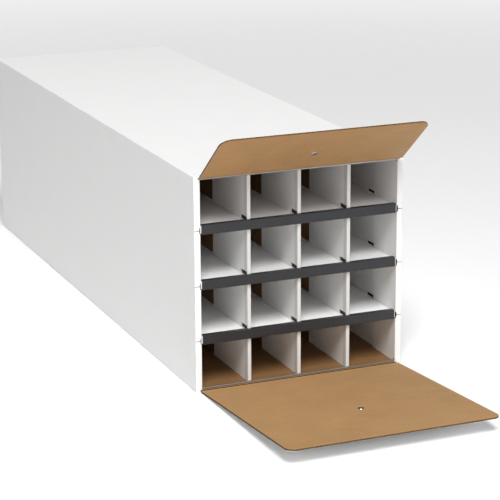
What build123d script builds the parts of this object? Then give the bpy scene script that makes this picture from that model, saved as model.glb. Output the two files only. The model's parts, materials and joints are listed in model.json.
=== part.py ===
"""Corrugated tube file: a long box with sixteen square compartments and two front flaps."""
import os

from build123d import *

os.makedirs("parts", exist_ok=True)

# ---- overall sizes (mm) ----
box_width = 305.0
box_height = 296.0
box_depth = 940.0
board = 3.0

# ---- front wire and rolled side edges ----
wire_diameter = 3.0
wire_bend_radius = 3.4
crease_skin = 0.8
wire_seat = 2.3
strip_skin = 1.2
wire_back_gap = 0.3
fold_in_depth = 70.0
roll_slit = 0.7
edge_hole_width = 2.0
edge_hole_height = 4.8
outer_corner_radius = 1.4
roll_corner_radius = 0.9

# ---- tiers and columns ----
tier_count = 4
column_count = 4

# ---- shelf trims and hems ----
trim_height = 13.2
trim_wall = 1.2
trim_leg = 7.6
trim_end_gap = 1.6
trim_front = 0.1
trim_bead = 0.35
hem_depth = 6.0
hem_rise = 3.0
hem_radius = 0.8
fit_gap = 0.1

# ---- shelf outline ----
shelf_slot_length = 24.0
lining_slot_rise = 3.5
shelf_side_gap = 0.2
ear_start = 12.0
ear_length = 30.0
ear_notch_gap = 0.5
lining_front = 8.0

# ---- dividers ----
leaf = 2.4
leaf_gap = 0.4
divider_wire_gap = 0.3
short_leaf_depth = 124.0
long_leaf_clearance = 1.0
divider_seat_gap = 0.05
divider_hem_gap = 1.9
corner_notch_length = 22.0
corner_notch_rise = 7.0
lock_slot_length = 28.0
divider_nose_radius = 0.9

# ---- flaps ----
flap_side_inset = 5.5
upper_flap_length = 105.0
upper_flap_angle = 39.0
flap_nest_gap = 1.0
upper_corner_radius = 15.0
lower_flap_margin = 4.0
lower_flap_angle = 4.0
lower_flap_closed_gap = 0.2
lower_corner_radius = 13.0
neck_reach = 1.5
web_gap = 0.3

# ---- rivets and buttons ----
upper_rivet_reach = 42.5
upper_rivet_offset = 2.0
lower_rivet_reach = 177.0
lower_rivet_offset = 5.0
shank_radius = 2.0
shank_hole_radius = 1.2
shank_clearance = 0.1
flange_radius = 4.6
flange_thickness = 0.6
clinch_radius = 3.2
button_radius = 10.5
button_thickness = 1.6
button_hub_radius = 4.5
button_hub_height = 1.2
button_edge_radius = 0.4
flange_taper = 30.0

# ---- rear end ----
rear_seam = 0.8
rear_side_inset = 0.6

# ---- derived ----
tiny = 0.01
half_width = box_width / 2
front = -box_depth / 2
rear = box_depth / 2
wire_radius = wire_diameter / 2
roll_width = 2 * board + wire_diameter
lining_thickness = wire_diameter
fold_face = half_width - roll_width
wall_face = half_width - board
lining_face = wall_face - lining_thickness
rear_face = rear - 2 * board
top_underside = box_height - board
front_opening = (box_height - 2 * board - (tier_count - 1) * trim_height) / tier_count
trim_rise = hem_rise + trim_wall
hem_height = trim_height - 2 * trim_wall - 2 * fit_gap
wire_y = front + strip_skin + wire_radius
crease_reach = strip_skin + wire_diameter + wire_back_gap
divider_front = strip_skin + wire_diameter + divider_wire_gap
shelf_step_depth = fold_in_depth + shelf_slot_length
lower_wire_z = wire_seat + wire_radius
upper_wire_z = box_height - wire_seat - wire_radius
column_pitch = (2 * fold_face - (column_count - 1) * (2 * leaf + leaf_gap)) / column_count
divider_pitch = column_pitch + 2 * leaf + leaf_gap
flap_width = box_width - 2 * flap_side_inset
lower_flap_length = box_height - lower_flap_margin
upper_flap_closed_gap = lower_flap_closed_gap + board + flap_nest_gap
lower_axis_height = crease_skin / 2


def trim_bottom(level):
    """Height of the lower edge of a shelf trim, level 1 being the lowest."""
    return board + level * front_opening + (level - 1) * trim_height


def shelf_top(level):
    """Height of a shelf's upper face; level 0 is the floor of the box."""
    if level == 0:
        return board
    return trim_bottom(level) + trim_height - trim_rise


def shelf_underside(level):
    """Height of the underside above a tier; the last level is the top panel."""
    if level == tier_count:
        return top_underside
    return shelf_top(level) - board


# ---- shell: wrap with rolled front side edges and a closed rear end ----
lower_axis_y = front - lower_flap_closed_gap - board + lower_axis_height
upper_axis_y = front - upper_flap_closed_gap - board / 2
lower_skin_front = lower_axis_y + crease_skin / 2 + web_gap
upper_skin_front = upper_axis_y + crease_skin / 2 + web_gap
strip_bottom = crease_skin + fit_gap
strip_height = box_height - 2 * strip_bottom
fold_in_bottom = board + fit_gap
fold_in_height = box_height - 2 * fold_in_bottom
relief_height = lower_wire_z + wire_bend_radius + fit_gap - board
relief_depth = crease_reach - strip_skin
roll_center = (half_width + fold_face) / 2
fold_center = fold_face + board / 2
notch_height = board + 2 * ear_notch_gap
notch_length = ear_length + 2 * ear_notch_gap
notch_y = front + ear_start + ear_length / 2
with BuildPart() as shell:
    with BuildSketch(Plane.XZ.offset(-front)):
        with Locations((0, box_height / 2)):
            Rectangle(box_width, box_height)
            Rectangle(2 * wall_face, box_height - 2 * board, mode=Mode.SUBTRACT)
    extrude(amount=-(box_depth - board))
    # crushed seats for the wire in the top and bottom panels
    with BuildSketch(Plane.XZ.offset(-front)):
        with Locations((0, wire_seat), (0, top_underside)):
            Rectangle(2 * wall_face, board - wire_seat, align=(Align.CENTER, Align.MIN))
    extrude(amount=-crease_reach, mode=Mode.SUBTRACT)
    long_edges = shell.edges().filter_by(Axis.Y)
    outer_edges = long_edges.filter_by_position(Axis.X, -half_width - tiny, -half_width + tiny)
    outer_edges += long_edges.filter_by_position(Axis.X, half_width - tiny, half_width + tiny)
    fillet(outer_edges, outer_corner_radius)
    # crease skins running forward to the two hinge lines
    with BuildSketch(Plane.XY):
        with Locations((0, front)):
            skin_length = front - lower_skin_front
            Rectangle(flap_width, skin_length, align=(Align.CENTER, Align.MAX))
    extrude(amount=crease_skin)
    with BuildSketch(Plane.XY.offset(box_height - crease_skin)):
        with Locations((0, front)):
            skin_length = front - upper_skin_front
            Rectangle(flap_width, skin_length, align=(Align.CENTER, Align.MAX))
    extrude(amount=crease_skin)
    # rolled side edges: front strip, then the panel folded back inside
    with BuildSketch(Plane.XY.offset(strip_bottom)):
        with Locations((-roll_center, front), (roll_center, front)):
            Rectangle(roll_width, strip_skin, align=(Align.CENTER, Align.MIN))
    extrude(amount=strip_height)
    with BuildSketch(Plane.XY.offset(fold_in_bottom)):
        with Locations((-fold_center, front), (fold_center, front)):
            Rectangle(board, fold_in_depth, align=(Align.CENTER, Align.MIN))
    extrude(amount=fold_in_height)
    upright_edges = shell.edges().filter_by(Axis.Z)
    front_edges = upright_edges.filter_by_position(Axis.Y, front - tiny, front + tiny)
    fillet(front_edges, roll_corner_radius)
    # reliefs in the folded-in panels where the wire turns its corners
    with BuildSketch(Plane.XZ.offset(-(front + strip_skin))):
        for side in (-fold_center, fold_center):
            with Locations((side, board), (side, top_underside - relief_height)):
                Rectangle(board, relief_height, align=(Align.CENTER, Align.MIN))
    extrude(amount=-relief_depth, mode=Mode.SUBTRACT)
    # slits and die-cut holes of the rolled edges at the shelves
    for level in range(1, tier_count):
        slit_z = shelf_underside(level) - roll_slit / 2
        with BuildSketch(Plane.XZ.offset(-front)):
            with Locations((-roll_center, slit_z), (roll_center, slit_z)):
                Rectangle(roll_width, roll_slit)
        extrude(amount=-strip_skin, mode=Mode.SUBTRACT)
        with BuildSketch(Plane.XZ.offset(-front)):
            with Locations((-fold_center, slit_z), (fold_center, slit_z)):
                Rectangle(board, roll_slit)
        extrude(amount=-fold_in_depth, mode=Mode.SUBTRACT)
        with BuildSketch(Plane.XZ.offset(-front)):
            with Locations((-fold_face, slit_z), (fold_face, slit_z)):
                Ellipse(edge_hole_width, edge_hole_height)
        extrude(amount=-lining_front, mode=Mode.SUBTRACT)
        with BuildSketch(Plane.XY.offset(shelf_underside(level) - ear_notch_gap)):
            with Locations((-fold_center, notch_y), (fold_center, notch_y)):
                Rectangle(board, notch_length)
        extrude(amount=notch_height, mode=Mode.SUBTRACT)
    # rear end: two side flaps under an upper and a lower outer flap
    with BuildSketch(Plane.XZ.offset(-rear_face)):
        with Locations((0, box_height / 2)):
            Rectangle(2 * wall_face, box_height - 2 * board)
            Rectangle(rear_seam, box_height - 2 * board, mode=Mode.SUBTRACT)
    extrude(amount=-board)
    with BuildSketch(Plane.XZ.offset(-(rear - board))):
        with Locations((0, box_height / 2)):
            Rectangle(2 * (half_width - rear_side_inset), box_height)
            Rectangle(box_width, rear_seam, mode=Mode.SUBTRACT)
    extrude(amount=-board)
    cross_edges = shell.edges().filter_by(Axis.X)
    rear_edges = cross_edges.filter_by_position(Axis.Y, rear - tiny, rear + tiny).group_by(Axis.Z)
    fillet(rear_edges[0] + rear_edges[-1], outer_corner_radius)
shell.part.label = "shell"
export_step(shell.part, "parts/shell.step")

# ---- white linings inside the side walls ----
lining_length = rear_face - front - lining_front - fit_gap
with BuildPart() as side_lining_left:
    with BuildSketch(Plane.XY.offset(board)):
        with Locations((-wall_face, front + lining_front)):
            Rectangle(lining_thickness, lining_length, align=(Align.MIN, Align.MIN))
    extrude(amount=box_height - 2 * board)
    for level in range(1, tier_count):
        with BuildSketch(Plane.XY.offset(shelf_top(level))):
            with Locations((-wall_face, front + fold_in_depth)):
                Rectangle(lining_thickness, shelf_slot_length, align=(Align.MIN, Align.MIN))
        extrude(amount=lining_slot_rise, mode=Mode.SUBTRACT)
side_lining_left.part.label = "side_lining_left"
export_step(side_lining_left.part, "parts/side_lining_left.step")

with BuildPart() as side_lining_right:
    with BuildSketch(Plane.XY.offset(board)):
        with Locations((wall_face, front + lining_front)):
            Rectangle(lining_thickness, lining_length, align=(Align.MAX, Align.MIN))
    extrude(amount=box_height - 2 * board)
    for level in range(1, tier_count):
        with BuildSketch(Plane.XY.offset(shelf_top(level))):
            with Locations((wall_face, front + fold_in_depth)):
                Rectangle(lining_thickness, shelf_slot_length, align=(Align.MAX, Align.MIN))
        extrude(amount=lining_slot_rise, mode=Mode.SUBTRACT)
side_lining_right.part.label = "side_lining_right"
export_step(side_lining_right.part, "parts/side_lining_right.step")

# ---- shelves: stepped board, rolled hem, ears and lock slots ----
hem_front = front + trim_front + trim_wall + fit_gap
shelf_back = rear_face - fit_gap
narrow_half = fold_face - shelf_side_gap
wide_half = lining_face - shelf_side_gap
slot_x = -leaf / 2 - leaf_gap / 2
slot_y = front + divider_front + short_leaf_depth + lock_slot_length / 2
for level in range(1, tier_count):
    with BuildPart() as shelf:
        with BuildSketch(Plane.XY.offset(shelf_underside(level))):
            with Locations((0, hem_front)):
                Rectangle(2 * narrow_half, shelf_back - hem_front, align=(Align.CENTER, Align.MIN))
            with Locations((0, front + shelf_step_depth)):
                wide_length = shelf_back - front - shelf_step_depth
                Rectangle(2 * wide_half, wide_length, align=(Align.CENTER, Align.MIN))
            with Locations((0, front + ear_start)):
                Rectangle(2 * wide_half, ear_length, align=(Align.CENTER, Align.MIN))
            with Locations((slot_x, slot_y)):
                with GridLocations(divider_pitch, 0, column_count - 1, 1):
                    Rectangle(leaf + leaf_gap, lock_slot_length, mode=Mode.SUBTRACT)
        extrude(amount=board)
        hem_bottom = trim_bottom(level) + trim_wall + fit_gap
        with BuildSketch(Plane.XY.offset(hem_bottom)):
            with Locations((0, hem_front)):
                Rectangle(2 * narrow_half, hem_depth, align=(Align.CENTER, Align.MIN))
        extrude(amount=hem_height)
        cross_edges = shelf.edges().filter_by(Axis.X)
        hem_ends = cross_edges.filter_by_position(Axis.Y, hem_front - tiny, hem_front + tiny)
        fillet(hem_ends, hem_radius)
    name = f"shelf_{level}"
    shelf.part.label = name
    export_step(shelf.part, f"parts/{name}.step")

# ---- plastic channels clipped over the shelf hems ----
trim_length = 2 * (fold_face - trim_end_gap)
for level in range(1, tier_count):
    with BuildPart() as shelf_trim:
        with BuildSketch(Plane.YZ.offset(-trim_length / 2)):
            with Locations((front + trim_front, trim_bottom(level))):
                Rectangle(trim_leg, trim_height, align=(Align.MIN, Align.MIN))
            with Locations((front + trim_front + trim_wall, trim_bottom(level) + trim_wall)):
                inner_height = trim_height - 2 * trim_wall
                Rectangle(trim_leg, inner_height, align=(Align.MIN, Align.MIN), mode=Mode.SUBTRACT)
        extrude(amount=trim_length)
        long_edges = shelf_trim.edges().filter_by(Axis.X)
        trim_face = front + trim_front
        outer_edges = long_edges.filter_by_position(Axis.Y, trim_face - tiny, trim_face + tiny)
        fillet(outer_edges, trim_wall / 2)
        tip_edges = shelf_trim.edges().filter_by(Axis.X).group_by(Axis.Y)[-1]
        fillet(tip_edges, trim_bead)
    name = f"shelf_trim_{level}"
    shelf_trim.part.label = name
    export_step(shelf_trim.part, f"parts/{name}.step")

# ---- dividers: boards folded at the front edge, short left leaf and long right leaf ----
divider_y = front + divider_front
nose_width = 2 * leaf + leaf_gap
long_leaf_depth = rear_face - long_leaf_clearance - divider_y
for tier in range(tier_count):
    seat = shelf_top(tier) + divider_seat_gap
    ceiling = shelf_underside(tier + 1) - divider_seat_gap
    for column in range(1, column_count):
        center_x = (column - column_count / 2) * divider_pitch
        with BuildPart() as divider:
            with BuildSketch(Plane.XY.offset(seat)):
                with Locations((center_x, divider_y)):
                    Rectangle(nose_width, leaf, align=(Align.CENTER, Align.MIN))
                with Locations((center_x - nose_width / 2, divider_y)):
                    Rectangle(leaf, short_leaf_depth, align=(Align.MIN, Align.MIN))
                with Locations((center_x + nose_width / 2, divider_y)):
                    Rectangle(leaf, long_leaf_depth, align=(Align.MAX, Align.MIN))
            extrude(amount=ceiling - seat)
            nose_edges = divider.edges().filter_by(Axis.Z).group_by(Axis.Y)[0]
            fillet(nose_edges, divider_nose_radius)
            if tier > 0:
                trim_top = trim_bottom(tier) + trim_height + fit_gap
                hem_reach = hem_front + hem_depth + divider_hem_gap - divider_y
                with BuildSketch(Plane.XY.offset(seat)):
                    with Locations((center_x, divider_y)):
                        Rectangle(nose_width, hem_reach, align=(Align.CENTER, Align.MIN))
                extrude(amount=trim_top - seat, mode=Mode.SUBTRACT)
                with BuildSketch(Plane.XY.offset(seat)):
                    with Locations((center_x - nose_width / 2, divider_y + leaf)):
                        Rectangle(leaf, corner_notch_length, align=(Align.MIN, Align.MIN))
                extrude(amount=corner_notch_rise, mode=Mode.SUBTRACT)
            if tier < tier_count - 1:
                hem_drop = trim_bottom(tier + 1) - fit_gap
                hem_reach = hem_front + hem_depth + divider_hem_gap - divider_y
                with BuildSketch(Plane.XY.offset(hem_drop)):
                    with Locations((center_x, divider_y)):
                        Rectangle(nose_width, hem_reach, align=(Align.CENTER, Align.MIN))
                extrude(amount=ceiling - hem_drop, mode=Mode.SUBTRACT)
        name = f"divider_{tier + 1}_{column}"
        divider.part.label = name
        export_step(divider.part, f"parts/{name}.step")

# ---- steel wire rectangle around the front opening ----
wire_half = half_width - board - wire_radius
with BuildPart() as wire_frame:
    with BuildLine(Plane.XZ.offset(-wire_y)) as wire_path:
        FilletPolyline(
            (-wire_half, lower_wire_z),
            (wire_half, lower_wire_z),
            (wire_half, upper_wire_z),
            (-wire_half, upper_wire_z),
            radius=wire_bend_radius,
            close=True,
        )
    with BuildSketch(Plane(origin=wire_path.wires()[0] @ 0, z_dir=wire_path.wires()[0] % 0)):
        Circle(wire_radius)
    sweep(path=wire_path.wires()[0])
wire_frame.part.label = "wire_frame"
export_step(wire_frame.part, "parts/wire_frame.step")

# ---- flaps: boards on a thin crease neck, drawn about their hinge axes ----
upper_axis_z = box_height - crease_skin / 2
lower_axis_z = lower_axis_height
upper_plane = Plane(Location((0, upper_axis_y, upper_axis_z), (180 - upper_flap_angle, 0, 0)))
lower_plane = Plane(Location((0, lower_axis_y, lower_axis_z), (180 - lower_flap_angle, 0, 0)))

with BuildPart() as upper_flap:
    with BuildSketch(upper_plane.offset(-board / 2)):
        with Locations((0, neck_reach)):
            board_reach = upper_flap_length - neck_reach
            flap_sheet = Rectangle(flap_width, board_reach, align=(Align.CENTER, Align.MIN))
        fillet(flap_sheet.vertices().group_by(Axis.Y)[-1], upper_corner_radius)
    extrude(amount=board)
    with BuildSketch(upper_plane.offset(-crease_skin / 2)):
        Rectangle(flap_width, neck_reach + board, align=(Align.CENTER, Align.MIN))
    extrude(amount=crease_skin)
    with BuildSketch(Plane.YZ.offset(-flap_width / 2)):
        with Locations((upper_axis_y, upper_axis_z)):
            Circle(crease_skin / 2)
    extrude(amount=flap_width)
    with BuildSketch(upper_plane):
        with Locations((upper_rivet_offset, upper_rivet_reach)):
            Circle(shank_radius + shank_clearance)
    extrude(amount=board, both=True, mode=Mode.SUBTRACT)
upper_flap.part.label = "upper_flap"
export_step(upper_flap.part, "parts/upper_flap.step")

with BuildPart() as lower_flap:
    with BuildSketch(lower_plane.offset(lower_axis_height - board)):
        with Locations((0, neck_reach)):
            board_reach = lower_flap_length - neck_reach
            flap_sheet = Rectangle(flap_width, board_reach, align=(Align.CENTER, Align.MIN))
        fillet(flap_sheet.vertices().group_by(Axis.Y)[-1], lower_corner_radius)
    extrude(amount=board)
    with BuildSketch(lower_plane.offset(-crease_skin / 2)):
        Rectangle(flap_width, neck_reach + board, align=(Align.CENTER, Align.MIN))
    extrude(amount=crease_skin)
    with BuildSketch(Plane.YZ.offset(-flap_width / 2)):
        with Locations((lower_axis_y, lower_axis_z)):
            Circle(crease_skin / 2)
    extrude(amount=flap_width)
    with BuildSketch(lower_plane):
        with Locations((lower_rivet_offset, lower_rivet_reach)):
            Circle(shank_radius + shank_clearance)
    extrude(amount=board, both=True, mode=Mode.SUBTRACT)
lower_flap.part.label = "lower_flap"
export_step(lower_flap.part, "parts/lower_flap.step")

# ---- tubular rivets and fibre buttons; each plane lies on a flap's inner face ----
upper_seat = Location((upper_rivet_offset, upper_rivet_reach, board / 2))
lower_seat = Location((lower_rivet_offset, lower_rivet_reach, lower_axis_height - board), (180, 0, 0))
upper_rivet_plane = Plane(upper_plane.location * upper_seat)
lower_rivet_plane = Plane(lower_plane.location * lower_seat)
stack_depth = board + button_hub_height + button_thickness

with BuildPart() as upper_rivet:
    with BuildSketch(upper_rivet_plane):
        Circle(flange_radius)
    extrude(amount=flange_thickness, taper=flange_taper)
    with BuildSketch(upper_rivet_plane):
        Circle(shank_radius)
    extrude(amount=-stack_depth)
    with BuildSketch(upper_rivet_plane.offset(-stack_depth)):
        Circle(clinch_radius)
    extrude(amount=-flange_thickness, taper=flange_taper)
    with BuildSketch(upper_rivet_plane.offset(flange_thickness)):
        Circle(shank_hole_radius)
    extrude(amount=-stack_depth - 2 * flange_thickness, mode=Mode.SUBTRACT)
upper_rivet.part.label = "upper_rivet"
export_step(upper_rivet.part, "parts/upper_rivet.step")

with BuildPart() as lower_rivet:
    with BuildSketch(lower_rivet_plane):
        Circle(flange_radius)
    extrude(amount=flange_thickness, taper=flange_taper)
    with BuildSketch(lower_rivet_plane):
        Circle(shank_radius)
    extrude(amount=-stack_depth)
    with BuildSketch(lower_rivet_plane.offset(-stack_depth)):
        Circle(clinch_radius)
    extrude(amount=-flange_thickness, taper=flange_taper)
    with BuildSketch(lower_rivet_plane.offset(flange_thickness)):
        Circle(shank_hole_radius)
    extrude(amount=-stack_depth - 2 * flange_thickness, mode=Mode.SUBTRACT)
lower_rivet.part.label = "lower_rivet"
export_step(lower_rivet.part, "parts/lower_rivet.step")

with BuildPart() as upper_button:
    with BuildSketch(upper_rivet_plane.offset(-board)):
        Circle(button_hub_radius)
    extrude(amount=-button_hub_height)
    with BuildSketch(upper_rivet_plane.offset(-board - button_hub_height)):
        Circle(button_radius)
    extrude(amount=-button_thickness)
    rim_edges = upper_button.edges().filter_by(GeomType.CIRCLE).group_by(SortBy.RADIUS)[-1]
    fillet(rim_edges, button_edge_radius)
    with BuildSketch(upper_rivet_plane.offset(-board)):
        Circle(shank_radius + shank_clearance)
    extrude(amount=-stack_depth, mode=Mode.SUBTRACT)
upper_button.part.label = "upper_button"
export_step(upper_button.part, "parts/upper_button.step")

with BuildPart() as lower_button:
    with BuildSketch(lower_rivet_plane.offset(-board)):
        Circle(button_hub_radius)
    extrude(amount=-button_hub_height)
    with BuildSketch(lower_rivet_plane.offset(-board - button_hub_height)):
        Circle(button_radius)
    extrude(amount=-button_thickness)
    rim_edges = lower_button.edges().filter_by(GeomType.CIRCLE).group_by(SortBy.RADIUS)[-1]
    fillet(rim_edges, button_edge_radius)
    with BuildSketch(lower_rivet_plane.offset(-board)):
        Circle(shank_radius + shank_clearance)
    extrude(amount=-stack_depth, mode=Mode.SUBTRACT)
lower_button.part.label = "lower_button"
export_step(lower_button.part, "parts/lower_button.step")
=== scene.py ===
import json
import math

import bmesh
import bpy
from mathutils import Matrix, Vector


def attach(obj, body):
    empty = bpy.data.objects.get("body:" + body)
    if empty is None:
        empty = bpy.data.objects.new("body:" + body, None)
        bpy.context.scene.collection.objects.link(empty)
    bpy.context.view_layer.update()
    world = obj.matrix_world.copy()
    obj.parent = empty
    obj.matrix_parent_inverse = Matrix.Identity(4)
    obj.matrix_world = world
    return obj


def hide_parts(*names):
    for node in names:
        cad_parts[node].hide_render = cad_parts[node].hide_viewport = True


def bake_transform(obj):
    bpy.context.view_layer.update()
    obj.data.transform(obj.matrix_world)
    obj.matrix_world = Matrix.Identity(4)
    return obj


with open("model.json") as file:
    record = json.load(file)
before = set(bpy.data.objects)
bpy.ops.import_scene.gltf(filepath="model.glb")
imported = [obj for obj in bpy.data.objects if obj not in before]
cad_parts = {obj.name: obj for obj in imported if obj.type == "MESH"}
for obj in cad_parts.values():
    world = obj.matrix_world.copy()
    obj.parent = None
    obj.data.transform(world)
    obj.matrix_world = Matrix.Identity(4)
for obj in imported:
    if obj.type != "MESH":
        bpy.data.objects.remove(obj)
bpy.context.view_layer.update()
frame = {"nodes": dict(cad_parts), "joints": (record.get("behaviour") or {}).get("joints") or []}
nodes = frame["nodes"]
joints = {joint["name"]: joint for joint in frame["joints"]}
print("frame loaded:", len(nodes), "nodes")


# small helpers for node trees
def put(tree, kind, inputs=None, **settings):
    made = tree.nodes.new(kind)
    for name, value in settings.items():
        setattr(made, name, value)
    for name, value in (inputs or {}).items():
        if isinstance(value, bpy.types.NodeSocket):
            tree.links.new(value, made.inputs[name])
        else:
            made.inputs[name].default_value = value
    return made


def calc(tree, operation, *values):
    made = tree.nodes.new("ShaderNodeMath")
    made.operation = operation
    for index, value in enumerate(values):
        if isinstance(value, bpy.types.NodeSocket):
            tree.links.new(value, made.inputs[index])
        else:
            made.inputs[index].default_value = value
    return made.outputs[0]


def mixColour(tree, share, first, second, blend="MIX"):
    made = put(tree, "ShaderNodeMix", data_type="RGBA", blend_type=blend, clamp_factor=True)
    for socket, value in ((made.inputs[0], share), (made.inputs[6], first), (made.inputs[7], second)):
        if isinstance(value, bpy.types.NodeSocket):
            tree.links.new(value, socket)
        else:
            socket.default_value = value
    return made.outputs[2]


def stretched(tree, vector, scale):
    return put(tree, "ShaderNodeMapping", {"Vector": vector, "Scale": scale}).outputs[0]


def noise(tree, vector, scale, detail=3.0, roughness=0.55):
    return put(
        tree,
        "ShaderNodeTexNoise",
        {"Vector": vector, "Scale": scale, "Detail": detail, "Roughness": roughness},
    ).outputs[0]


def remap(tree, value, fromLow, fromHigh, toLow=0.0, toHigh=1.0):
    made = put(tree, "ShaderNodeMapRange", interpolation_type="SMOOTHSTEP")
    tree.links.new(value, made.inputs["Value"])
    for name, number in (
        ("From Min", fromLow), ("From Max", fromHigh), ("To Min", toLow), ("To Max", toHigh)
    ):
        made.inputs[name].default_value = number
    return made.outputs[0]


def newGroup(name, ins, outs):
    tree = bpy.data.node_groups.new(name, "ShaderNodeTree")
    for label, kind, value in ins:
        socket = tree.interface.new_socket(name=label, in_out="INPUT", socket_type="NodeSocket" + kind)
        if value is not None:
            socket.default_value = value
    for label, kind in outs:
        tree.interface.new_socket(name=label, in_out="OUTPUT", socket_type="NodeSocket" + kind)
    return tree, tree.nodes.new("NodeGroupInput").outputs, tree.nodes.new("NodeGroupOutput").inputs


def place(tree, group, inputs):
    return put(tree, "ShaderNodeGroup", inputs, node_tree=group).outputs


def axes(tree, vector):
    return put(tree, "ShaderNodeSeparateXYZ", {"Vector": vector}).outputs


def both(tree, first, second):
    return calc(tree, "MULTIPLY", first, second)


def under(tree, value, limit):
    return calc(tree, "LESS_THAN", value, limit)


def over(tree, value, limit):
    return calc(tree, "GREATER_THAN", value, limit)


def between(tree, value, low, high):
    return both(tree, over(tree, value, low), under(tree, value, high))


def size(tree, value):
    return calc(tree, "ABSOLUTE", value)


def aboutHalf(tree, value, strength):
    # a value's swing to either side of one half
    return both(tree, calc(tree, "SUBTRACT", value, 0.5), strength)


def tinted(tree, colour, tint):
    return mixColour(tree, 1.0, colour, tint, "MULTIPLY")


def blended(tree, share, first, second):
    return put(tree, "ShaderNodeMix", {0: share, 2: first, 3: second}, data_type="FLOAT").outputs[0]


def bumped(tree, shader, height, depth):
    bump = put(tree, "ShaderNodeBump", {"Height": height, "Strength": 1.0, "Distance": depth})
    tree.links.new(bump.outputs[0], shader.inputs["Normal"])


# shared effects; scales are in waves or grains to the metre
pulp = {
    "cloud": {"scale": 260.0, "detail": 5.0, "roughness": 0.68},
    "wide": {"scale": 21.0, "detail": 2.0, "roughness": 0.5},
    "fine": {"scale": 1500.0, "detail": 2.0, "roughness": 0.6},
    "chosen": {"scale": 310.0, "detail": 1.0},
    "streakScale": (30.0, 420.0, 420.0),
    "fibreScale": (260.0, 760.0, 760.0),
    "fibreSize": (0.1, 0.26),
    "fibreShare": 0.6,
    "fibreDepth": -0.5,
    "wideStrength": 0.8,
}


def makePaperTooth():
    # cloudy pulp, long faint machine streaks and single fibres
    tree, ins, outs = newGroup(
        "paperTooth",
        [
            ("Vector", "Vector", None),
            ("Cloud", "Float", 0.5),
            ("Streak", "Float", 0.5),
            ("Fleck", "Float", 0.5),
        ],
        [("Shade", "Float"), ("Height", "Float")],
    )
    cloud = noise(tree, ins["Vector"], **pulp["cloud"])
    wide = noise(tree, ins["Vector"], **pulp["wide"])
    streak = noise(tree, stretched(tree, ins["Vector"], pulp["streakScale"]), 1.0, 3.0, 0.6)
    speck = put(
        tree,
        "ShaderNodeTexVoronoi",
        {"Vector": stretched(tree, ins["Vector"], pulp["fibreScale"]), "Scale": 1.0},
    )
    chosen = over(tree, noise(tree, ins["Vector"], **pulp["chosen"]), pulp["fibreShare"])
    fleck = both(tree, remap(tree, speck.outputs["Distance"], *pulp["fibreSize"], 1.0, 0.0), chosen)
    parts = [
        aboutHalf(tree, cloud, ins["Cloud"]),
        aboutHalf(tree, wide, both(tree, ins["Cloud"], pulp["wideStrength"])),
        aboutHalf(tree, streak, ins["Streak"]),
        both(tree, both(tree, fleck, pulp["fibreDepth"]), ins["Fleck"]),
    ]
    total = parts[0]
    for part in parts[1:]:
        total = calc(tree, "ADD", total, part)
    tree.links.new(calc(tree, "ADD", total, 1.0), outs["Shade"])
    fine = noise(tree, ins["Vector"], **pulp["fine"])
    tree.links.new(calc(tree, "ADD", both(tree, cloud, 0.5), both(tree, fine, 0.5)), outs["Height"])
    return tree


washboard = {"sideways": 0.7, "wanderScale": 5.0, "wander": 0.004}


def makeFluteRipple():
    # the faint washboard of the fluting under a liner; flutes run front to back
    tree, ins, outs = newGroup(
        "fluteRipple",
        [("Vector", "Vector", None), ("Facing", "Vector", None), ("Pitch", "Float", 0.0065)],
        [("Wave", "Float")],
    )
    spot = axes(tree, ins["Vector"])
    facing = axes(tree, ins["Facing"])
    sideways = over(tree, size(tree, facing[0]), washboard["sideways"])
    along = calc(
        tree,
        "ADD",
        both(tree, spot[2], sideways),
        both(tree, spot[0], calc(tree, "SUBTRACT", 1.0, sideways)),
    )
    drift = noise(tree, ins["Vector"], washboard["wanderScale"], 1.0)
    wander = both(tree, drift, washboard["wander"])
    turns = calc(tree, "DIVIDE", calc(tree, "ADD", along, wander), ins["Pitch"])
    wave = calc(tree, "SINE", both(tree, turns, 2 * math.pi))
    tree.links.new(calc(tree, "ADD", both(tree, wave, 0.5), 0.5), outs["Wave"])
    return tree


rubbing = {
    "ragged": {"scale": 240.0, "detail": 5.0, "roughness": 0.7},
    "patch": {"scale": 26.0, "detail": 2.0},
    "patchRange": (0.42, 0.62),
    "swell": 1.7,
}


def makeEdgeWear():
    # how near a point is to the nearest long edge of a box, broken up by noise
    tree, ins, outs = newGroup(
        "edgeWear",
        [
            ("Vector", "Vector", None),
            ("Middle", "Vector", None),
            ("Half", "Vector", None),
            ("Reach", "Float", 0.004),
        ],
        [("Wear", "Float")],
    )
    away = put(
        tree, "ShaderNodeVectorMath", {0: ins["Vector"], 1: ins["Middle"]}, operation="SUBTRACT"
    ).outputs[0]
    away = put(tree, "ShaderNodeVectorMath", {0: away}, operation="ABSOLUTE").outputs[0]
    left = put(tree, "ShaderNodeVectorMath", {0: ins["Half"], 1: away}, operation="SUBTRACT").outputs[0]
    gap = axes(tree, left)
    lower = calc(tree, "MINIMUM", gap[0], gap[1])
    upper = calc(tree, "MAXIMUM", gap[0], gap[1])
    second = calc(tree, "MAXIMUM", lower, calc(tree, "MINIMUM", upper, gap[2]))
    ragged = both(tree, noise(tree, ins["Vector"], **rubbing["ragged"]), ins["Reach"])
    near = calc(tree, "SUBTRACT", both(tree, ragged, rubbing["swell"]), second)
    soft = calc(tree, "DIVIDE", near, ins["Reach"])
    patch = remap(tree, noise(tree, ins["Vector"], **rubbing["patch"]), *rubbing["patchRange"])
    wear = both(tree, calc(tree, "MINIMUM", calc(tree, "MAXIMUM", soft, 0.0), 1.0), patch)
    tree.links.new(wear, outs["Wear"])
    return tree


# shares of the board's thickness
cutEnd = {"swing": 0.34, "medium": 0.1, "linersFrom": 0.38}


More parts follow.
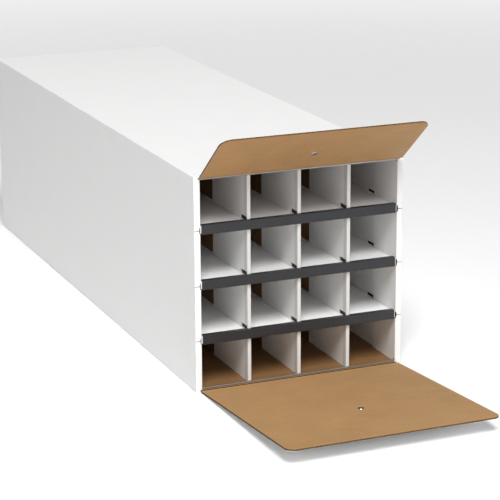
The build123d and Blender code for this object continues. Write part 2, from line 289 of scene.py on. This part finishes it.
def makeCutBoard():
    # a cut through corrugated board: two liners and the wave between them
    tree, ins, outs = newGroup(
        "cutBoard",
        [("Along", "Float", 0.0), ("Through", "Float", 0.5), ("Pitch", "Float", 0.0065)],
        [("Paper", "Float")],
    )
    wave = calc(tree, "SINE", both(tree, calc(tree, "DIVIDE", ins["Along"], ins["Pitch"]), 2 * math.pi))
    centre = calc(tree, "ADD", both(tree, wave, cutEnd["swing"]), 0.5)
    medium = under(tree, size(tree, calc(tree, "SUBTRACT", ins["Through"], centre)), cutEnd["medium"])
    rim = over(tree, size(tree, calc(tree, "SUBTRACT", ins["Through"], 0.5)), cutEnd["linersFrom"])
    paper = calc(tree, "MAXIMUM", medium, rim)
    tree.links.new(paper, outs["Paper"])
    return tree


paperTooth = makePaperTooth()
fluteRipple = makeFluteRipple()
edgeWear = makeEdgeWear()
cutBoard = makeCutBoard()

finish = {
    "white": (0.86, 0.86, 0.855, 1.0),
    "kraft": (0.4, 0.226, 0.094, 1.0),
    "kraftLight": (0.43, 0.252, 0.11, 1.0),
    # painted shadow: near-black brown put in gaps, holes, slots and open flutes where only shade falls
    "paintedShadow": (0.032, 0.019, 0.011, 1.0),
    "scuff": (0.62, 0.6, 0.57, 1.0),
    # painted shade tint for kraft inside the box and inside the divider folds
    "shade": (0.54, 0.49, 0.44, 1.0),
    "liningTint": (0.97, 0.965, 0.955, 1.0),
    # painted shade tint for the front hems of the dividers
    "hemShadeTint": (0.8, 0.8, 0.79, 1.0),
    "flutePitch": 0.0065,
    "rippleHeight": 0.6,
    "toothDepth": 0.00006,
    "shine": 0.35,
}


def startMaterial(name):
    material = bpy.data.materials.new(name)
    material.use_nodes = True
    tree = material.node_tree
    shader = tree.nodes["Principled BSDF"]
    where = tree.nodes.new("ShaderNodeTexCoord").outputs
    return material, tree, shader, where


def shaded(tree, colour, shade):
    # multiplies a colour by a single value that varies over the surface
    grey = put(tree, "ShaderNodeCombineColor", {"Red": shade, "Green": shade, "Blue": shade}).outputs[0]
    return tinted(tree, colour, grey)


whiteLiner = {
    "tooth": {"Cloud": 0.035, "Streak": 0.02, "Fleck": 0.03},
    "ripple": 0.012,
    "toothHeight": 0.25,
}
kraftLiner = {
    "tooth": {"Cloud": 0.26, "Streak": 0.22, "Fleck": 0.62},
    "ripple": 0.035,
    "toothHeight": 0.45,
    "cloudScale": 60.0,
}


def paperSurface(tree, where, liner, base, strength=1.0):
    # a liner's colour and height: tooth and fibres over the ripple of the fluting
    toothInputs = {**liner["tooth"], "Cloud": liner["tooth"]["Cloud"] * strength}
    tooth = place(tree, paperTooth, {"Vector": where["Object"], **toothInputs})
    ripple = place(
        tree,
        fluteRipple,
        {"Vector": where["Object"], "Facing": where["Normal"], "Pitch": finish["flutePitch"]},
    )
    # painted shade: the colour follows the washboard wave, lighter on its ridges and darker in its dips
    shade = calc(tree, "ADD", tooth["Shade"], aboutHalf(tree, ripple["Wave"], liner["ripple"]))
    waves = both(tree, ripple["Wave"], finish["rippleHeight"])
    height = calc(tree, "ADD", waves, both(tree, tooth["Height"], liner["toothHeight"]))
    return shaded(tree, base, shade), height


def whitePaper(tree, where):
    # coated white liner
    return paperSurface(tree, where, whiteLiner, finish["white"])


def kraftPaper(tree, where, strength=1.0):
    # unbleached liner with streaks and dark fibres
    patches = noise(tree, where["Object"], kraftLiner["cloudScale"])
    base = mixColour(tree, patches, finish["kraft"], finish["kraftLight"])
    return paperSurface(tree, where, kraftLiner, base, strength)


def finishPaper(tree, shader, colour, height, rough):
    tree.links.new(colour, shader.inputs["Base Color"])
    bumped(tree, shader, height, finish["toothDepth"])
    shader.inputs["Roughness"].default_value = rough
    shader.inputs["Specular IOR Level"].default_value = finish["shine"]


# limits in the box's own coordinates that tell the wrap's faces apart
wrap = {
    "insideHalf": 0.14965,
    "foldFace": 0.1436,
    "foldBack": -0.3995,
    "coreFront": -0.4685,
    "coreBack": 0.4645,
    "coreLow": 0.0029,
    "coreHigh": 0.2931,
    "shadeFrom": -0.4665,
    "floorBelow": 0.02,
    "roofAbove": 0.28,
    "foldEnd": (-0.401, -0.399),
    "foldStart": 0.1435,
    "board": 0.003,
    "grooveHalf": 0.1462,
    "grooveLow": 0.00245,
    "grooveHigh": 0.29245,
    "holesFrom": -0.39,
    "slotRun": (-0.402, -0.37),
    "hemBack": -0.44,
    "middle": (0.0, 0.0, 0.148),
    "half": (0.1525, 0.47, 0.148),
    "wearReach": 0.0032,
    "wearShare": 0.35,
}


def insideWrap(tree, spot, facing, side):
    # kraft shows on the inner faces, except on the white fold-in panels
    low = both(tree, under(tree, spot[2], wrap["floorBelow"]), over(tree, facing[2], 0.5))
    high = both(tree, over(tree, spot[2], wrap["roofAbove"]), under(tree, facing[2], -0.5))
    within = under(tree, side, wrap["insideHalf"])
    core = both(tree, within, between(tree, spot[2], wrap["coreLow"], wrap["coreHigh"]))
    core = both(tree, core, between(tree, spot[1], wrap["coreFront"], wrap["coreBack"]))
    panel = both(tree, under(tree, side, wrap["foldFace"]), over(tree, size(tree, facing[0]), 0.3))
    panel = both(tree, panel, under(tree, spot[1], wrap["foldBack"]))
    core = both(tree, core, calc(tree, "SUBTRACT", 1.0, panel))
    return calc(tree, "MAXIMUM", core, both(tree, calc(tree, "MAXIMUM", low, high), within))


def paintedGapShadow(tree, spot, facing, side, inner):
    # painted shadow: the open edges above and below the wire, the holes at the shelf ends and the slots
    # beside the shelves are coloured near-black
    ahead = both(tree, under(tree, facing[1], -0.5), under(tree, side, wrap["grooveHalf"]))
    rim = calc(
        tree, "MAXIMUM", under(tree, spot[2], wrap["grooveLow"]), over(tree, spot[2], wrap["grooveHigh"])
    )
    middle = between(tree, spot[2], wrap["floorBelow"], wrap["roofAbove"])
    level = both(tree, over(tree, size(tree, facing[2]), 0.5), middle)
    hole = both(tree, level, under(tree, spot[1], wrap["holesFrom"]))
    wall = both(
        tree,
        both(tree, inner, between(tree, spot[1], *wrap["slotRun"])),
        over(tree, size(tree, facing[0]), 0.5),
    )
    hem = both(tree, both(tree, inner, under(tree, spot[1], wrap["hemBack"])), middle)
    hole = calc(tree, "MAXIMUM", hole, calc(tree, "MAXIMUM", wall, hem))
    return calc(tree, "MAXIMUM", both(tree, ahead, rim), hole)


def makeWrapBoard():
    material, tree, shader, where = startMaterial("wrapBoard")
    spot = axes(tree, where["Object"])
    facing = axes(tree, where["Normal"])
    side = size(tree, spot[0])
    white, whiteHeight = whitePaper(tree, where)
    kraft, kraftHeight = kraftPaper(tree, where)
    inner = insideWrap(tree, spot, facing, side)
    # rubbed edges show a little of the brown below the coating
    worn = place(
        tree,
        edgeWear,
        {
            "Vector": where["Object"],
            "Middle": wrap["middle"],
            "Half": wrap["half"],
            "Reach": wrap["wearReach"],
        },
    )["Wear"]
    outside = mixColour(tree, both(tree, worn, wrap["wearShare"]), white, finish["scuff"])
    # painted shade: the inner kraft is darkened everywhere behind the front edge of the box
    shady = tinted(tree, kraft, finish["shade"])
    kraft = mixColour(tree, over(tree, spot[1], wrap["shadeFrom"]), kraft, shady)
    colour = mixColour(tree, inner, outside, kraft)
    # cut ends of the folded-in panels, with painted shadow in the gaps between the flutes
    ends = both(tree, over(tree, facing[1], 0.7), between(tree, spot[1], *wrap["foldEnd"]))
    through = calc(tree, "DIVIDE", calc(tree, "SUBTRACT", side, wrap["foldStart"]), wrap["board"])
    cut = place(tree, cutBoard, {"Along": spot[2], "Through": through, "Pitch": finish["flutePitch"]})
    colour = mixColour(
        tree, ends, colour, mixColour(tree, cut["Paper"], finish["paintedShadow"], finish["kraft"])
    )
    # painted shadow in the gaps, holes and slots of the wrap
    colour = mixColour(tree, paintedGapShadow(tree, spot, facing, side, inner), colour, finish["paintedShadow"])
    height = blended(tree, inner, whiteHeight, kraftHeight)
    finishPaper(tree, shader, colour, height, 0.6)
    return material


lining = {"slotBack": -0.37, "slotLow": 0.01, "slotHigh": 0.286}


def makeWhiteBoard(name, rough=0.6, slotted=False):
    material, tree, shader, where = startMaterial(name)
    colour, height = whitePaper(tree, where)
    if slotted:
        # the cut faces of the slots beside each shelf get a painted shadow
        spot = axes(tree, where["Object"])
        facing = axes(tree, where["Normal"])
        colour = tinted(tree, colour, finish["liningTint"])
        cut = both(
            tree, under(tree, size(tree, facing[0]), 0.5), under(tree, spot[1], lining["slotBack"])
        )
        cut = both(tree, cut, between(tree, spot[2], lining["slotLow"], lining["slotHigh"]))
        colour = mixColour(tree, cut, colour, finish["paintedShadow"])
    finishPaper(tree, shader, colour, height, rough)
    return material


divider = {
    "pitch": 0.07305,
    "leafHalf": 0.002,
    "leafStart": 0.0002,
    "leaf": 0.0024,
    "foldFront": -0.4635,
    "notchShadeBack": -0.42,
    "hemBack": -0.455,
    "flutePitch": 0.0032,
}


def makeDividerBoard():
    material, tree, shader, where = startMaterial("dividerBoard")
    spot = axes(tree, where["Object"])
    facing = axes(tree, where["Normal"])
    white, whiteHeight = whitePaper(tree, where)
    kraft, kraftHeight = kraftPaper(tree, where)
    # distance from the middle of the divider that the point belongs to
    column = calc(tree, "ROUND", calc(tree, "DIVIDE", spot[0], divider["pitch"]))
    across = size(tree, calc(tree, "SUBTRACT", spot[0], both(tree, column, divider["pitch"])))
    leafFace = both(
        tree, over(tree, size(tree, facing[0]), 0.5), under(tree, across, divider["leafHalf"])
    )
    inFold = both(tree, leafFace, over(tree, spot[1], divider["foldFront"]))
    # painted shade: the kraft inside the fold is darkened, and its front part, seen through the corner
    # notch, is painted near-black shadow
    paintedNotchShade = both(tree, inFold, under(tree, spot[1], divider["notchShadeBack"]))
    kraft = mixColour(tree, paintedNotchShade, tinted(tree, kraft, finish["shade"]), finish["paintedShadow"])
    # painted shade: the front hem of each divider is darkened, as shade under the trims' overhang
    hem = under(tree, spot[1], divider["hemBack"])
    white = mixColour(tree, hem, white, tinted(tree, white, finish["hemShadeTint"]))
    colour = mixColour(tree, inFold, white, kraft)
    # cut edges at the top, the bottom and the back, with painted shadow in the gaps between the flutes
    level = over(tree, size(tree, facing[2]), 0.6)
    back = over(tree, facing[1], 0.6)
    through = calc(tree, "DIVIDE", calc(tree, "SUBTRACT", across, divider["leafStart"]), divider["leaf"])
    along = calc(tree, "ADD", both(tree, spot[2], back), both(tree, spot[1], level))
    cut = place(tree, cutBoard, {"Along": along, "Through": through, "Pitch": divider["flutePitch"]})
    edge = calc(tree, "MINIMUM", calc(tree, "ADD", level, back), 1.0)
    colour = mixColour(
        tree, edge, colour, mixColour(tree, cut["Paper"], finish["paintedShadow"], finish["kraft"])
    )
    finishPaper(tree, shader, colour, blended(tree, inFold, whiteHeight, kraftHeight), 0.6)
    return material


def makeKraft(name, strength=1.0, tint=None):
    material, tree, shader, where = startMaterial(name)
    colour, height = kraftPaper(tree, where, strength)
    if tint:
        colour = tinted(tree, colour, tint)
    finishPaper(tree, shader, colour, height, 0.68)
    return material


trim = {
    "dark": (0.014, 0.0148, 0.0175, 1.0),
    "light": (0.022, 0.0235, 0.028, 1.0),
    "rubbed": (0.06, 0.061, 0.066, 1.0),
    "rough": 0.3,
}


def makeTrimPlastic():
    # extruded channel: satin, with draw lines along its length and faint rubs
    material, tree, shader, where = startMaterial("trimPlastic")
    lines = noise(tree, stretched(tree, where["Object"], (3.0, 1600.0, 1600.0)), 1.0, 3.0, 0.6)
    cloudy = noise(tree, where["Object"], 45.0, 3.0)
    scraped = noise(tree, stretched(tree, where["Object"], (60.0, 900.0, 900.0)), 1.0, 4.0, 0.7)
    rub = remap(tree, scraped, 0.6, 0.72)
    colour = mixColour(
        tree, both(tree, rub, 0.25), mixColour(tree, lines, trim["dark"], trim["light"]), trim["rubbed"]
    )
    tree.links.new(colour, shader.inputs["Base Color"])
    rough = calc(
        tree, "ADD", both(tree, cloudy, 0.16), calc(tree, "ADD", both(tree, rub, 0.1), trim["rough"])
    )
    tree.links.new(rough, shader.inputs["Roughness"])
    bumped(tree, shader, calc(tree, "ADD", lines, both(tree, cloudy, 0.6)), 0.00003)
    return material


drawnWire = {
    "bright": (0.44, 0.44, 0.435, 1.0),
    "dark": (0.3, 0.3, 0.3, 1.0),
    "rough": 0.3,
    "lineScale": (14.0, 900.0, 900.0),
    "stain": 0.12,
}
rivetPlate = {
    "bright": (0.6, 0.6, 0.58, 1.0),
    "dark": (0.34, 0.33, 0.32, 1.0),
    "rough": 0.24,
    "lineScale": (900.0, 900.0, 900.0),
    "stain": 0.4,
}


def makeSteel(name, metal):
    material, tree, shader, where = startMaterial(name)
    lines = noise(tree, stretched(tree, where["Object"], metal["lineScale"]), 1.0, 3.0, 0.65)
    dull = remap(tree, noise(tree, where["Object"], 160.0, 4.0), 0.5, 0.68)
    share = calc(tree, "ADD", both(tree, lines, 0.5), both(tree, dull, metal["stain"]))
    colour = mixColour(tree, share, metal["bright"], metal["dark"])
    tree.links.new(colour, shader.inputs["Base Color"])
    shader.inputs["Metallic"].default_value = 1.0
    tree.links.new(
        calc(tree, "ADD", both(tree, dull, metal["stain"] * 0.5), metal["rough"]),
        shader.inputs["Roughness"],
    )
    bumped(tree, shader, calc(tree, "ADD", lines, both(tree, dull, 0.5)), 0.00002)
    return material


fibre = {"dark": (0.16, 0.05, 0.035, 1.0), "light": (0.33, 0.13, 0.09, 1.0)}


def makeFibre():
    # pressed vulcanised fibre
    material, tree, shader, where = startMaterial("buttonFibre")
    mottle = noise(tree, where["Object"], 520.0, 5.0, 0.65)
    strand = noise(tree, stretched(tree, where["Object"], (300.0, 2600.0, 900.0)), 1.0, 3.0)
    share = calc(tree, "ADD", both(tree, mottle, 0.6), both(tree, strand, 0.4))
    colour = mixColour(tree, share, fibre["dark"], fibre["light"])
    tree.links.new(colour, shader.inputs["Base Color"])
    tree.links.new(remap(tree, mottle, 0.3, 0.7, 0.42, 0.6), shader.inputs["Roughness"])
    bumped(tree, shader, calc(tree, "ADD", mottle, strand), 0.00004)
    return material


materials = {
    "wrap": makeWrapBoard(),
    "lining": makeWhiteBoard("liningBoard", 0.66, True),
    "shelf": makeWhiteBoard("shelfBoard"),
    "divider": makeDividerBoard(),
    "flapInside": makeKraft("flapKraft"),
    "flapOutside": makeWhiteBoard("flapWhite"),
    "fluting": makeKraft("flutingPaper", 0.6, (0.82, 0.78, 0.72, 1.0)),
    "cutEdge": makeKraft("cutLiner", 0.6, (0.4, 0.35, 0.31, 1.0)),
    "trim": makeTrimPlastic(),
    "wire": makeSteel("drawnWire", drawnWire),
    "rivet": makeSteel("rivetPlate", rivetPlate),
    "button": makeFibre(),
}


def coat(nodeName, key):
    mesh = nodes[nodeName].data
    mesh.materials.clear()
    mesh.materials.append(materials[key])


for name in nodes:
    for start, key in (
        ("shell", "wrap"),
        ("side_lining", "lining"),
        ("shelf_", "shelf"),
        ("shelf_trim", "trim"),
        ("divider", "divider"),
        ("wire", "wire"),
        ("upper_rivet", "rivet"),
        ("lower_rivet", "rivet"),
        ("upper_button", "button"),
        ("lower_button", "button"),
    ):
        if name.startswith(start):
            coat(name, key)
print("materials on the CAD nodes")


# flaps: two liners glued to a fluted middle
def toObject(name, bm, keys, smoothAngle=None):
    mesh = bpy.data.meshes.new(name)
    bm.to_mesh(mesh)
    bm.free()
    for key in keys:
        mesh.materials.append(materials[key])
    made = bpy.data.objects.new(name, mesh)
    bpy.context.scene.collection.objects.link(made)
    if smoothAngle:
        for polygon in mesh.polygons:
            polygon.use_smooth = True
        mesh.set_sharp_from_angle(angle=math.radians(smoothAngle))
    return made


def cutOutline(bm, half, length, radius, inset=0.0, steps=9):
    # cuts along the flap's outline with planes; with no inset the waste falls away
    for side in (-1, 1):
        centre = Vector((side * (half - radius), length - radius, 0))
        for step in range(steps + 1):
            angle = math.radians(90) * step / steps
            outward = Vector((side * math.cos(angle), math.sin(angle), 0))
            geometry = bm.verts[:] + bm.edges[:] + bm.faces[:]
            spot = centre + outward * (radius - inset)
            trims = inset == 0.0
            bmesh.ops.bisect_plane(
                bm, geom=geometry, dist=1e-7, plane_co=spot, plane_no=outward, clear_outer=trims
            )


# millimetres from the hinge, and the share of the board's half thickness reached there
insidePress = (
    (0.4, 0.0),
    (0.8, 0.4),
    (1.4, 0.78),
    (2.2, 0.96),
    (3.0, 1.0),
    (3.8, 0.96),
    (4.8, 0.84),
    (5.8, 0.8),
    (6.8, 0.84),
    (8.5, 0.96),
    (10.5, 1.0),
)
outsidePress = ((0.7, 0.0), (1.6, 0.05), (2.4, 0.3), (3.2, 0.6), (4.0, 0.85), (5.0, 0.97), (6.0, 1.0))


def sweepAcross(bm, points, half):
    # points run down the flap; the sheet spans both sides of the middle
    row = [bm.verts.new((-half, first, second)) for first, second in points]
    edges = [bm.edges.new(pair) for pair in zip(row, row[1:])]
    swept = bmesh.ops.extrude_edge_only(bm, edges=edges)["geom"]
    moved = [part for part in swept if isinstance(part, bmesh.types.BMVert)]
    bmesh.ops.translate(bm, verts=moved, vec=(2 * half, 0, 0))


def makeLiner(name, key, flap, face, base, turned, pressed):
    # the crease press leaves a bead and a groove, then the board has its full thickness
    bm = bmesh.new()
    rise = face - base
    profile = [(u / 1000, base + rise * part) for u, part in pressed]
    profile += [(flap["length"] * 0.5, face), (flap["length"], face)]
    sweepAcross(bm, profile, flap["half"])
    cutOutline(bm, flap["half"], flap["length"], flap["corner"])
    outward = 1 if base > 0 else -1
    bmesh.ops.recalc_face_normals(bm, faces=bm.faces)
    if max(bm.faces, key=lambda f: f.calc_area()).normal.z * outward < 0:
        bmesh.ops.reverse_faces(bm, faces=bm.faces)
    # the die crushes the board along its cut edges
    cutOutline(bm, flap["half"], flap["length"], flap["corner"], flap["crushWidth"])
    for vert in bm.verts:
        if vert.is_boundary and vert.co.y > flap["crease"]:
            vert.co.z -= outward * flap["crush"]
    bmesh.ops.solidify(bm, geom=bm.faces[:], thickness=flap["liner"])
    bmesh.ops.recalc_face_normals(bm, faces=bm.faces)
    for part in bm.faces:
        part.material_index = 1 if part.normal.z * outward < 0.3 else 0
    bmesh.ops.transform(bm, matrix=turned, verts=bm.verts)
    return toObject(name, bm, [key, "cutEdge"], 35)


def makeFluting(name, flap, turned):
    low = min(flap["inner"], flap["outer"]) + flap["liner"]
    high = max(flap["inner"], flap["outer"]) - flap["liner"]
    wall = flap["medium"]
    count = round(2 * flap["half"] / flap["pitch"])
    bm = bmesh.new()
    bmesh.ops.create_grid(bm, x_segments=count * 8, y_segments=2, size=0.5)
    reach = flap["length"] - flap["crease"]
    for vert in bm.verts:
        turn = (vert.co.x + 0.5) * count
        swing = (high - low - wall) / 2
        if vert.co.y > 0.45:
            swing -= flap["crush"]
        vert.co.z = (low + high) / 2 + swing * math.sin(2 * math.pi * turn + flap["fluteShift"])
        vert.co.x *= 2 * flap["half"] - flap["fluteInset"]
        share = (0.0, 1 - flap["crushedEnd"] / reach, 1.0)[round((vert.co.y + 0.5) * 2)]
        run = reach - flap["fluteGap"] - flap["fluteEnd"]
        vert.co.y = flap["crease"] + flap["fluteGap"] + share * run
    cutOutline(bm, flap["half"], flap["length"], flap["corner"] + 0.0001)
    bmesh.ops.solidify(bm, geom=bm.faces[:], thickness=wall)
    bmesh.ops.translate(bm, verts=bm.verts, vec=(0, 0, wall / 2))
    bmesh.ops.recalc_face_normals(bm, faces=bm.faces)
    bmesh.ops.transform(bm, matrix=turned, verts=bm.verts)
    return toObject(name, bm, ["fluting"], 60)


flapBoard = {
    "half": 0.147,
    "liner": 0.00035,
    "medium": 0.00028,
    "pitch": 0.0065,
    "crease": 0.0052,
    "neck": 0.0004,
    "crush": 0.0005,
    "crushWidth": 0.0012,
    "fluteGap": 0.006,
    "fluteInset": 0.003,
    "fluteEnd": 0.0002,
    "crushedEnd": 0.0014,
    "fluteShift": 0.6,
}
upperFlap = {
    **flapBoard, "length": 0.105, "corner": 0.015, "inner": 0.0015, "outer": -0.0015, "lift": 39.0
}
lowerFlap = {
    **flapBoard, "length": 0.292, "corner": 0.013, "inner": -0.0026, "outer": 0.0004, "lift": 4.0
}


def makeFlap(prefix, flap, node, body, joint):
    hinge = Vector(joints[joint]["pos_m"])
    turned = Matrix.Translation(hinge) @ Matrix.Rotation(math.radians(180 - flap["lift"]), 4, "X")
    side = 1 if flap["inner"] > 0 else -1
    inside = makeLiner(
        prefix + "InsideLiner",
        "flapInside",
        flap,
        flap["inner"],
        side * flap["neck"],
        turned,
        insidePress,
    )
    outside = makeLiner(
        prefix + "OutsideLiner",
        "flapOutside",
        flap,
        flap["outer"],
        -side * flap["neck"],
        turned,
        outsidePress,
    )
    middle = makeFluting(prefix + "Fluting", flap, turned)
    for piece in (inside, outside, middle):
        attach(piece, body)
    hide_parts(node)
    return hinge, turned


upperHinge, upperTurn = makeFlap(
    "upperFlap", upperFlap, "upper_flap", "upper_flap_body", "upper_flap_hinge"
)
lowerHinge, lowerTurn = makeFlap(
    "lowerFlap", lowerFlap, "lower_flap", "lower_flap_body", "lower_flap_hinge"
)
print("flaps built")


# creases: thin paper that bends between the box and each flap, darker kraft on the inside
creaseFold = {
    "thickness": 0.00078,
    "half": 0.1469,
    "boxReach": 0.0009,
    "flapReach": 0.0017,
    "bend": 0.0004,
    "steps": 8,
}


def makeCrease(name, flap, hinge, turned):
    bm = bmesh.new()
    ahead = turned.to_3x3() @ Vector((0, 1, 0))
    near = hinge + Vector((0, creaseFold["bend"], 0))
    far = hinge + ahead * creaseFold["bend"]
    path = [hinge + Vector((0, creaseFold["boxReach"], 0))]
    for step in range(creaseFold["steps"] + 1):
        share = step / creaseFold["steps"]
        path.append(near.lerp(hinge, share).lerp(hinge.lerp(far, share), share))
    path.append(hinge + ahead * creaseFold["flapReach"])
    sweepAcross(bm, [(spot.y, spot.z) for spot in path], creaseFold["half"])
    bm.normal_update()
    # the kraft side looks down from the upper flap and up from the lower one
    up = 1 if flap["inner"] < 0 else -1
    if bm.faces[:][0].normal.z * up < 0:
        bmesh.ops.reverse_faces(bm, faces=bm.faces)
        bm.normal_update()
    for vert in bm.verts:
        vert.co += vert.normal * creaseFold["thickness"] / 2
    bmesh.ops.solidify(bm, geom=bm.faces[:], thickness=creaseFold["thickness"])
    bmesh.ops.recalc_face_normals(bm, faces=bm.faces)
    for face in bm.faces:
        face.material_index = 0 if face.normal.z * up > 0.1 else 1
    made = toObject(name, bm, ["cutEdge", "flapOutside"], 50)
    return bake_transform(made)


makeCrease("upperCrease", upperFlap, upperHinge, upperTurn)
makeCrease("lowerCrease", lowerFlap, lowerHinge, lowerTurn)
print("creases built")


# stage, light and camera
stage = {
    "half": 6.0,
    "drop": 0.0002,
    "solid": 1.2,
    "gone": 4.5,
    "cloudScale": 0.6,
    "tone": (0.94, 0.96),
    "rough": 0.9,
    "shine": 0.1,
}
floorMesh = bmesh.new()
bmesh.ops.create_grid(floorMesh, x_segments=2, y_segments=2, size=stage["half"])
bmesh.ops.translate(floorMesh, verts=floorMesh.verts, vec=(0, 0, -stage["drop"]))
floorMaterial, floorTree, floorShader, floorWhere = startMaterial("studioFloor")
floorCloud = noise(floorTree, floorWhere["Object"], stage["cloudScale"], 2.0)
floorTone = remap(floorTree, floorCloud, 0.3, 0.7, *stage["tone"])
floorGrey = put(
    floorTree, "ShaderNodeCombineColor", {"Red": floorTone, "Green": floorTone, "Blue": floorTone}
)
floorTree.links.new(floorGrey.outputs[0], floorShader.inputs["Base Color"])
floorAway = put(
    floorTree, "ShaderNodeVectorMath", {0: floorWhere["Object"]}, operation="LENGTH"
).outputs["Value"]
floorTree.links.new(
    remap(floorTree, floorAway, stage["solid"], stage["gone"], 1.0, 0.0), floorShader.inputs["Alpha"]
)
floorShader.inputs["Roughness"].default_value = stage["rough"]
floorShader.inputs["Specular IOR Level"].default_value = stage["shine"]
floorData = bpy.data.meshes.new("studioFloor")
floorMesh.to_mesh(floorData)
floorMesh.free()
floorData.materials.append(floorMaterial)
floor = bpy.data.objects.new("studioFloor", floorData)
bpy.context.scene.collection.objects.link(floor)

lights = {
    "key": {"at": (-1.1, -3.65, 4.8), "aim": (0.0, -0.3, 0.1), "size": 2.6, "power": 350.0},
    "back": {"at": (1.5, 5.5, 4.0), "aim": (1.5, 5.0, 0.0), "size": 5.0, "power": 60.0},
}
for name, light in lights.items():
    data = bpy.data.lights.new(name + "Light", "AREA")
    data.shape = "SQUARE"
    data.size = light["size"]
    data.energy = light["power"]
    lamp = bpy.data.objects.new(name + "Light", data)
    bpy.context.scene.collection.objects.link(lamp)
    lamp.location = light["at"]
    lamp.rotation_mode = "QUATERNION"
    lamp.rotation_quaternion = (Vector(light["aim"]) - Vector(light["at"])).to_track_quat("-Z", "Y")

# the room is brighter towards the front, and plain white where the camera sees it
room = {"around": 0.22, "ahead": 0.95, "seen": 1.0, "brightFrom": -0.95, "brightTo": -0.68}
world = bpy.data.worlds.new("softRoom")
world.use_nodes = True
roomTree = world.node_tree
toward = axes(roomTree, roomTree.nodes.new("ShaderNodeTexCoord").outputs["Generated"])[1]
brightest = room["around"] + room["ahead"]
glow = remap(roomTree, toward, room["brightFrom"], room["brightTo"], brightest, room["around"])
direct = roomTree.nodes.new("ShaderNodeLightPath").outputs["Is Camera Ray"]
glow = blended(roomTree, direct, glow, room["seen"])
roomTree.links.new(glow, roomTree.nodes["Background"].inputs["Strength"])
roomTree.nodes["Background"].inputs["Color"].default_value = (1.0, 1.0, 1.0, 1.0)
bpy.context.scene.world = world
bpy.context.scene.view_settings.view_transform = "Standard"

view = {"at": (-1.04637, -2.81416, 0.90838), "turn": (74.18, 0.32, -22.63), "lens": 143.27}
cameraData = bpy.data.cameras.new("viewCamera")
cameraData.lens = view["lens"]
cameraData.sensor_width = 36.0
cameraData.clip_end = 60.0
camera = bpy.data.objects.new("viewCamera", cameraData)
camera.location = view["at"]
camera.rotation_euler = [math.radians(angle) for angle in view["turn"]]
bpy.context.scene.collection.objects.link(camera)
bpy.context.scene.camera = camera
print("stage, light and camera set")
